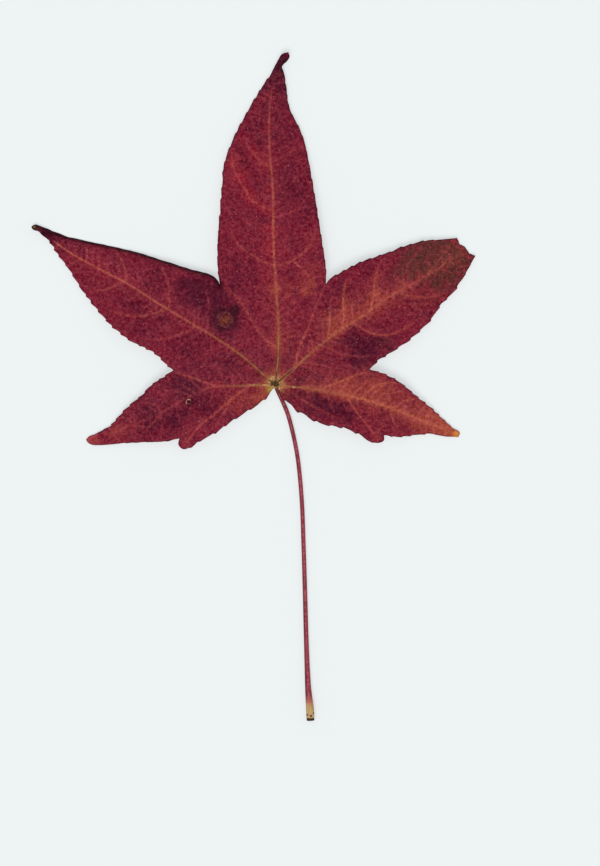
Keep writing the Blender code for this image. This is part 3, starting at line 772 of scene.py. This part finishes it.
class Graph:
    """Adds nodes to a material. Each method takes numbers, colours or sockets, and returns the new socket.

    base is the surface's colour so far. A place is a point in millimetres, and it is the surface's own point
    unless a method is given another one.
    """

    def __init__(self, name):
        self.material = bpy.data.materials.new(name)
        self.material.use_nodes = True
        self.tree = self.material.node_tree
        self.shader = self.tree.nodes["Principled BSDF"]
        self.base = None
        self.place = self.vector("SCALE", self.node("ShaderNodeTexCoord").outputs["Object"], 1 / MM)

    def node(self, kind, settings=(), **inputs):
        made = self.tree.nodes.new(kind)
        for key, value in dict(settings).items():
            setattr(made, key, value)
        for key, value in inputs.items():
            self.plug(made.inputs[key.replace("_", " ")], value)
        return made

    def plug(self, socket, value):
        if isinstance(value, bpy.types.NodeSocket):
            self.tree.links.new(value, socket)
        elif isinstance(value, tuple) and socket.type == "RGBA":
            socket.default_value = (*value, 1.0)
        else:
            socket.default_value = value

    def known(self, name):
        """A value stored at the mesh's points."""
        return self.node("ShaderNodeAttribute", {"attribute_name": name}).outputs["Fac"]

    def math(self, operation, first, second=0.0):
        made = self.node("ShaderNodeMath", {"operation": operation})
        self.plug(made.inputs[0], first)
        self.plug(made.inputs[1], second)
        return made.outputs[0]

    def vector(self, operation, first, second):
        """A vector operation. SCALE takes a number second, and DISTANCE gives a number."""
        made = self.node("ShaderNodeVectorMath", {"operation": operation})
        self.plug(made.inputs[0], first)
        self.plug(made.inputs["Scale" if operation == "SCALE" else 1], second)
        return made.outputs["Value" if operation == "DISTANCE" else "Vector"]

    def fold(self, operation, values):
        made = values[0]
        for value in values[1:]:
            made = self.math(operation, made, value)
        return made

    def sum(self, *values):
        return self.fold("ADD", values)

    def times(self, *values):
        return self.fold("MULTIPLY", values)

    def weigh(self, start, *pairs):
        """The start plus each value times its weight."""
        return self.sum(start, *(self.times(value, weight) for value, weight in pairs))

    def apart(self, value, level):
        """How far a value is from a level, either way."""
        return self.math("ABSOLUTE", self.sum(value, -level))

    def step(self, value, low, high):
        """A soft step from 0 at low to 1 at high, or down where low is above high."""
        ends = (0.0, 1.0) if low < high else (1.0, 0.0)
        made = self.node(
            "ShaderNodeMapRange", {"interpolation_type": "SMOOTHSTEP"}, Value=value,
            From_Min=min(low, high), From_Max=max(low, high), To_Min=ends[0], To_Max=ends[1],
        )
        return made.outputs["Result"]

    def mix(self, share, first, second):
        made = self.node("ShaderNodeMix", {"data_type": "RGBA", "clamp_factor": True}, Factor=share)
        self.plug(made.inputs[6], first)
        self.plug(made.inputs[7], second)
        return made.outputs[2]

    def lay(self, colour, *shares):
        """Lays a colour over the surface's, by the product of the shares."""
        self.base = self.mix(self.times(*shares), self.base, colour)

    def noise(self, size, detail=2.0, roughness=0.5, place=None):
        """Noise round 0.5 with features about size across."""
        made = self.node("ShaderNodeTexNoise", Vector=place or self.place, Scale=1 / size, Detail=detail)
        made.inputs["Roughness"].default_value = roughness
        return made.outputs["Fac"]

    def blobs(self, low, high, size, detail=2.0, roughness=0.5):
        """Soft-edged blobs of 1 among 0, with noise between low and high as their edges."""
        return self.step(self.noise(size, detail, roughness), low, high)

    def warped(self, size, amount):
        """The place moved about by noise, by up to amount."""
        made = self.node("ShaderNodeTexNoise", Vector=self.place, Scale=1 / size, Detail=1.0)
        centred = self.vector("SUBTRACT", made.outputs["Color"], (0.5, 0.5, 0.5))
        return self.vector("ADD", self.place, self.vector("SCALE", centred, 2 * amount))

    def cells(self, size, feature, output, place=None):
        settings = {"feature": feature, "voronoi_dimensions": "2D"}
        made = self.node("ShaderNodeTexVoronoi", settings, Vector=place or self.place, Scale=1 / size)
        return made.outputs[output]

    def distance_to(self, centre, place=None):
        """Distance in the plane from a fixed point."""
        flat = self.vector("MULTIPLY", place or self.place, (1.0, 1.0, 0.0))
        return self.vector("DISTANCE", flat, (*centre, 0.0))

    def near(self, centre, far, full, place=None):
        """A soft round spot: 0 beyond far from its centre, and 1 within full."""
        return self.step(self.distance_to(centre, place), far, full)

    def finish(self, uneven, height, gloss):
        """The finished material. uneven varies its roughness, and height is what its bumps follow."""
        roughness, variation, specular, depth = gloss
        self.plug(self.shader.inputs["Base Color"], self.base)
        self.plug(self.shader.inputs["Roughness"], self.weigh(roughness, (uneven, variation)))
        self.shader.inputs["Specular IOR Level"].default_value = specular
        bump = self.node("ShaderNodeBump", Height=height, Distance=depth * MM)
        self.plug(self.shader.inputs["Normal"], bump.outputs["Normal"])
        return self.material


# In the materials below, lengths are in millimetres, and every other number is a share or a noise level.


def small_network(g):
    """The finest veins, 1 on a line and 0 in the cells: a coarse mesh that comes and goes, and a fine one."""
    coarse, fine = (
        g.step(g.cells(size, "DISTANCE_TO_EDGE", "Distance", g.warped(*bend)), *line)
        for size, bend, line in NETWORK
    )
    return g.times(coarse, g.blobs(0.38, 0.62, 1.7)), fine


def upper_material():
    g = Graph("leaf_upper")
    ground_colour(g)
    lines = vein_colour(g)
    marks(g)
    paint_edge_shade(g)
    paint_sheen_grain(g)
    coarse, fine = small_network(g)
    height = g.weigh(0.0, (coarse, -0.5), (fine, -0.25), (g.noise(0.5), 0.5), (lines, -0.6))
    return g.finish(g.noise(3.0), height, UPPER_GLOSS)


def ground_colour(g):
    """Crimson mottled with maroon, and the rust, olive and scarlet of its patches."""
    dark, warm = g.known("dark"), g.known("warm")
    blotches = g.sum(g.noise(4.5, 3.0, 0.62), -0.5)
    speckle = g.sum(g.noise(2.1, 3.0, 0.65), -0.5)
    cell = g.cells(1.1, "F1", "Distance", g.warped(1.2, 0.4))
    depth = g.weigh(0.27, (dark, 0.8), (blotches, 1.55), (speckle, 2.1), (cell, -0.3))
    g.base = g.mix(depth, CRIMSON, MAROON)
    g.lay(SCARLET, g.step(g.known("scarlet"), 0.0, 1.3))
    mottled = g.weigh(-0.02, (warm, 1.0), (blotches, -0.8), (speckle, -1.1))
    g.lay(RUST, g.step(mottled, 0.0, 1.25), 0.95)
    g.lay(ORANGE, g.step(mottled, 0.95, 1.9))
    g.lay(OLIVE, g.known("olive"), g.weigh(0.75, (speckle, 3.5)))
    coarse, fine = small_network(g)
    lit = g.times(g.weigh(0.0, (coarse, 0.5), (fine, 0.16)), g.sum(0.85, g.step(warm, 0.1, 0.9)))
    line = g.mix(g.step(warm, 0.1, 0.7), ROSE_RED, RUST)
    g.lay(line, lit, g.step(dark, 1.1, 0.2))
    g.lay(NEAR_BLACK, g.step(g.sum(dark, g.times(speckle, 0.8)), 1.2, 2.0))
    g.lay(SPECK_PINK, specks(g), 0.6)


def specks(g):
    """Tiny pale flecks, each in one of a few cells chosen by chance."""
    off, spot = (g.cells(SPECK_SPACING, "F1", output) for output in ("Distance", "Position"))
    chance = g.node("ShaderNodeTexWhiteNoise", {"noise_dimensions": "2D"}, Vector=spot).outputs["Value"]
    return g.times(g.step(off, 0.13, 0.03), g.step(chance, 0.8, 1.0))


def vein_colour(g):
    """Warm halos round the veins, and the veins themselves. The second result is where their lines are."""
    warm = g.step(g.known("warm"), 0.1, 0.6)
    glow = g.mix(warm, ROSE_RED, RUST)
    broken = g.blobs(0.35, 0.65, 1.1, 3.0, 0.7)
    halo = g.times(g.step(g.known("main_off"), 3.4, 0.2), g.blobs(0.36, 0.68, 2.6, 3.0, 0.65))
    halo = g.times(halo, g.known("main_shows"), g.weigh(0.42, (warm, 0.25)))
    g.lay(glow, halo, g.step(g.known("dark"), 1.0, 0.3))
    side_line = side_vein_colour(g, warm, broken, glow)
    main_line = main_vein_colour(g, warm, broken)
    return g.math("MAXIMUM", g.times(main_line, 0.5), side_line)


def side_vein_colour(g, warm, broken, glow):
    """The side veins and their halos: rosy where faint, orange where clear or on warm ground."""
    side = g.known("side_off")
    shows = g.sum(g.known("side_shows"), g.times(g.step(g.known("warm"), 0.35, 0.9), 0.3))
    g.lay(glow, g.step(side, 1.5, 0.1), shows, g.blobs(0.32, 0.68, 1.6, 2.0, 0.6), 0.55)
    line = g.times(g.step(side, 0.62, 0.05), shows, g.weigh(0.3, (broken, 0.7)))
    colour = g.mix(g.step(g.sum(shows, g.times(warm, 0.4)), 0.3, 0.75), VEIN_ROSE, ORANGE)
    g.lay(colour, line, g.weigh(0.7, (warm, 0.25)))
    return line


def main_vein_colour(g, warm, broken):
    """The main veins, gold near the hub to orange, rosy where faint, tan beads, and painted shade in creases.
    """
    main, along, shows = (g.known(name) for name in ("main_off", "along", "main_shows"))
    g.lay(ORANGE, g.step(main, 1.7, 0.3), warm, g.weigh(0.15, (broken, 0.5)), shows)
    width = g.times(g.weigh(0.75, (along, -0.3)), g.weigh(0.4, (g.step(along, 0.99, 0.86), 0.6)))
    line = g.times(g.step(g.math("DIVIDE", main, width), 1.0, 0.3), g.weigh(0.4, (broken, 0.6)))
    line = g.times(line, g.step(g.known("dark"), 1.3, 0.5), shows)
    colour = g.mix(g.step(along, 0.12, 0.5), OCHRE, ORANGE)
    colour = g.mix(g.step(along, 0.32, 0.04), colour, VEIN_GOLD)
    colour = g.mix(g.step(shows, 0.7, 0.4), colour, VEIN_ROSE)
    beads = g.times(g.blobs(0.55, 0.7, 0.6), g.step(shows, 0.3, 0.8), 0.4)
    colour = g.mix(beads, colour, TAN)
    g.lay(colour, line, 0.95)
    # painted shade in the fine creases beside the main vein near the hub
    crease = g.step(g.apart(main, CREASE_OFF), 0.24, 0.05)
    g.lay(DARK_OLIVE, crease, g.known("creases"), 0.85)
    return line


def marks(g):
    """The hub, the dead spot, the small ring and the odd tips."""
    hub_colour(g)
    dead_spot(g)
    small = g.distance_to(SMALL_SPOT_AT, g.warped(0.8, 0.2))
    g.lay(NEAR_BLACK, g.step(small, 1.9, 0.9), 0.7)
    ring = g.step(g.apart(small, SMALL_SPOT_RING), 0.3, 0.08)
    g.lay(SPECK_PINK, ring, g.blobs(0.4, 0.6, 1.0), 0.8)
    for centre, colour, far, full, strength in ODD_TIPS:
        g.lay(colour, g.near(centre, far, full), strength)


def dead_spot(g):
    """A purple ring, nearly black on one side, round a brown and orange core with a pale rim."""
    bent = g.warped(1.8, 1.0)
    spot = g.distance_to(SPOT_AT, bent)
    g.lay(MAROON, g.step(spot, SPOT_RING * 1.5, SPOT_RING * 0.7), 0.7)
    ring = g.step(spot, SPOT_RING, SPOT_RING - 1.6)
    g.lay(SPOT_PURPLE, ring, g.weigh(0.4, (g.noise(1.3), 0.8)))
    g.lay(NEAR_BLACK, g.near(SPOT_DEEPEST_AT, 2.8, 0.8, bent), 0.75)
    core = g.step(spot, SPOT_CORE + 0.7, SPOT_CORE - 1.0)
    g.lay(SPOT_BROWN, core, g.blobs(0.28, 0.6, 1.1, 3.0), 0.7)
    rim = g.step(g.apart(spot, SPOT_CORE), 0.6, 0.1)
    g.lay(SPECK_PINK, rim, g.blobs(0.45, 0.65, 1.4), 0.13)
    g.lay(SPOT_ORANGE, g.step(spot, 1.6, 0.4), 0.4)


def hub_colour(g):
    """A rayed tan halo, yellower below, round a painted-shade dark star whose arms run out along the veins.
    """
    main, core = g.known("main_off"), g.known("core")
    hub = g.distance_to(HUB_AT)
    rays = g.blobs(0.4, 0.62, 0.8, 3.0, 0.65)
    g.lay(OCHRE, g.step(hub, 7.5, 2.0), g.weigh(0.1, (rays, 0.4)))
    g.lay(TAN, g.step(hub, HUB_HALO, 1.2), g.weigh(0.12, (rays, 0.68)))
    g.lay(HUB_CREAM, g.step(hub, 3.3, 1.6), rays, 0.5)
    g.lay(HUB_YELLOW, g.near(HUB_YELLOW_AT, 1.7, 0.5, g.warped(1.0, 0.4)), 0.8)
    plain = g.times(g.step(g.known("creases"), 0.4, 0.2), g.step(core, 0.5, 0.1))
    pale = g.times(g.step(main, 0.4, 0.1), g.step(hub, 9.5, 6.0), g.step(hub, 2.0, 3.5), plain)
    g.lay(HUB_CREAM, pale, g.blobs(0.4, 0.6, 1.4), 0.6)
    # painted shade: the dark star in the hub's dent, with its arms running out along the veins
    lines = g.times(g.step(main, 0.42, 0.12), core, 0.9)
    arms = g.times(g.step(main, 0.7, 0.3), g.step(hub, 2.3, 1.1))
    middle = g.near(HUB_AT, 1.1, 0.4, g.warped(0.7, 0.4))
    g.lay(DARK_OLIVE, g.fold("MAXIMUM", (lines, arms, middle)), 0.9)


def paint_edge_shade(g):
    """Painted shade: a thin dark line round the edge, darker on some margins and broad on the rolled one."""
    uneven = g.weigh(0.35, (g.blobs(0.3, 0.6, 2.2), 0.65))
    # painted shade: a thin dark line along the edge, darker on the margins whose edge lies in shade
    g.lay(NEAR_BLACK, g.step(g.known("edge_off"), 0.55, 0.1), g.known("edge_shading"), uneven)
    # painted shade: a broad dark band where the upper left lobe's upper margin rolls down
    g.lay(NEAR_BLACK, g.step(g.known("roll_off"), 1.5, 0.4), 0.8)


def paint_sheen_grain(g):
    """A fine uneven speckle of painted sheen, whose light side is dusty pink. Dark places have less of it."""
    # painted sheen: a speckle that lightens and darkens the colour in place of the fine relief's glints
    sheen_grain = g.weigh(-0.8, (g.noise(1.0, 3.0, 0.6), 1.0), (g.noise(0.4, 1.0), 0.6))
    red = g.node("ShaderNodeSeparateColor", Color=g.base).outputs["Red"]
    tint = g.vector("MULTIPLY", g.times(sheen_grain, g.weigh(0.4, (red, 4.8))), SHEEN_GRAIN_TINT)
    g.base = g.vector("MAXIMUM", g.vector("ADD", tint, g.base), DARKEST)


def under_material():
    """The paler, duller underside with its raised veins."""
    g = Graph("leaf_under")
    mottle = g.weigh(-0.35, (g.noise(5.0, 3.0), 0.9), (g.noise(1.2, 3.0), 0.7), (g.known("dark"), 0.4))
    g.base = g.mix(mottle, UNDER_ROSE, UNDER_DUSK)
    g.lay(ORANGE, g.step(g.known("warm"), 0.1, 1.3), 0.5)
    coarse, fine = small_network(g)
    g.lay(UNDER_VEIN, g.weigh(0.0, (coarse, 0.3), (fine, 0.12)))
    side_lines = g.times(g.step(g.known("side_off"), 0.4, 0.12), g.known("side_shows"))
    lines = g.math("MAXIMUM", g.step(g.known("main_off"), 0.95, 0.5), side_lines)
    g.lay(UNDER_VEIN, lines, 0.8)
    g.lay(TAN, g.near(HUB_AT, 5.0, 1.0), 0.5)
    g.lay(MAROON, g.step(g.known("edge_off"), 0.5, 0.1), 0.6)
    spot = g.near(SPOT_AT, SPOT_RING, SPOT_RING - 1.5, g.warped(1.8, 0.8))
    g.lay(STALK_BROWN, spot, 0.7)
    height = g.weigh(0.0, (coarse, 0.6), (fine, 0.3), (g.noise(0.5), 0.4))
    return g.finish(g.noise(3.0), height, UNDER_GLOSS)


def stalk_material():
    """Crimson, painted shade down one side, painted pink highlights top and bottom, tan flared end, dark cut.
    """
    g = Graph("leaf_stalk")
    across, patches = g.known("across"), g.noise(3.0)
    streaks = g.noise(0.42, place=g.vector("MULTIPLY", g.place, (1.0, STREAK_STRETCH, 1.0)))
    g.base = g.mix(g.step(streaks, 0.34, 0.62), STALK_RED, STALK_ROSE)
    g.lay(STALK_BROWN, g.step(patches, 0.45, 0.7), 0.6)
    # painted shade down the stalk's left side
    g.lay(STALK_SHADE, g.step(across, -0.25, -0.75), 0.8)
    # painted highlight: pink dashes along the top of the stalk, and along its underside
    g.lay(STALK_HIGHLIGHT, g.step(g.apart(across, 0.0), 0.55, 0.1), g.blobs(0.42, 0.68, 0.9), 0.6)
    uneven, level = (
        g.node("ShaderNodeSeparateXYZ", Vector=spot).outputs["Y"] for spot in (g.warped(1.0, 0.8), g.place)
    )
    g.lay(STALK_PEACH, g.step(uneven, *STALK_PEACH_BAND), 0.7)
    tan = g.mix(g.step(streaks, 0.35, 0.7), STALK_TAN, STALK_OLIVE)
    g.lay(tan, g.step(uneven, *STALK_TAN_BAND))
    for centre in STALK_DOTS:
        g.lay(STALK_END, g.near(centre, 0.6, 0.25), 0.9)
    g.lay(STALK_END, g.step(level, *STALK_END_BAND))
    g.lay(STALK_BROWN, g.near(HUB_AT, 5.0, 2.0), 0.7)
    height = g.weigh(0.0, (streaks, 0.8), (g.noise(0.4), 0.3))
    return g.finish(patches, height, STALK_GLOSS)


def make_floor():
    half = FLOOR_SIZE / 2
    mesh = bpy.data.meshes.new("floor")
    corners = [(x, y, -FLOOR_DROP) for x, y in ((-half, -half), (half, -half), (half, half), (-half, half))]
    mesh.from_pydata(corners, [], [(0, 1, 2, 3)])
    g = Graph("floor")
    looks = {
        "Base Color": FLOOR_COLOUR, "Roughness": 0.9, "Specular IOR Level": 0.0,
        "Emission Color": WORLD_SEEN, "Emission Strength": FLOOR_GLOW,
    }
    for name, value in looks.items():
        g.plug(g.shader.inputs[name], value)
    mesh.materials.append(g.material)
    floor = bpy.data.objects.new("floor", mesh)
    bpy.context.scene.collection.objects.link(floor)


def make_world():
    """A white surround that lights the leaf softly. The camera sees it in the floor's colour."""
    world = bpy.data.worlds.new("surround")
    world.use_nodes = True
    nodes, links = world.node_tree.nodes, world.node_tree.links
    light = nodes["Background"]
    light.inputs["Color"].default_value = (1.0, 1.0, 1.0, 1.0)
    light.inputs["Strength"].default_value = WORLD_LIGHT
    seen = nodes.new("ShaderNodeBackground")
    seen.inputs["Color"].default_value = (*WORLD_SEEN, 1.0)
    choice = nodes.new("ShaderNodeMixShader")
    links.new(nodes.new("ShaderNodeLightPath").outputs["Is Camera Ray"], choice.inputs["Fac"])
    links.new(light.outputs[0], choice.inputs[1])
    links.new(seen.outputs[0], choice.inputs[2])
    links.new(choice.outputs[0], nodes["World Output"].inputs["Surface"])
    bpy.context.scene.world = world
    bpy.context.scene.view_settings.view_transform = "Standard"


def make_sun():
    data = bpy.data.lights.new("soft_key", "SUN")
    data.energy = SUN_STRENGTH
    data.angle = SUN_ANGLE
    sun = bpy.data.objects.new("soft_key", data)
    sun.rotation_euler = SUN_TURN
    bpy.context.scene.collection.objects.link(sun)


def make_camera():
    """Straight above the leaf, looking down."""
    data = bpy.data.cameras.new("above")
    data.lens = LENS
    data.sensor_width = SENSOR
    camera = bpy.data.objects.new("above", data)
    camera.location = Vector((*VIEW_CENTRE, VIEW_LENGTH * LENS / SENSOR)) * MM
    bpy.context.scene.collection.objects.link(camera)
    bpy.context.scene.camera = camera


def main():
    make_world()
    make_sun()
    make_camera()
    make_floor()
    for piece in (make_blade(), make_stalk()):
        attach(piece, "root")
        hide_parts("leaf")


main()
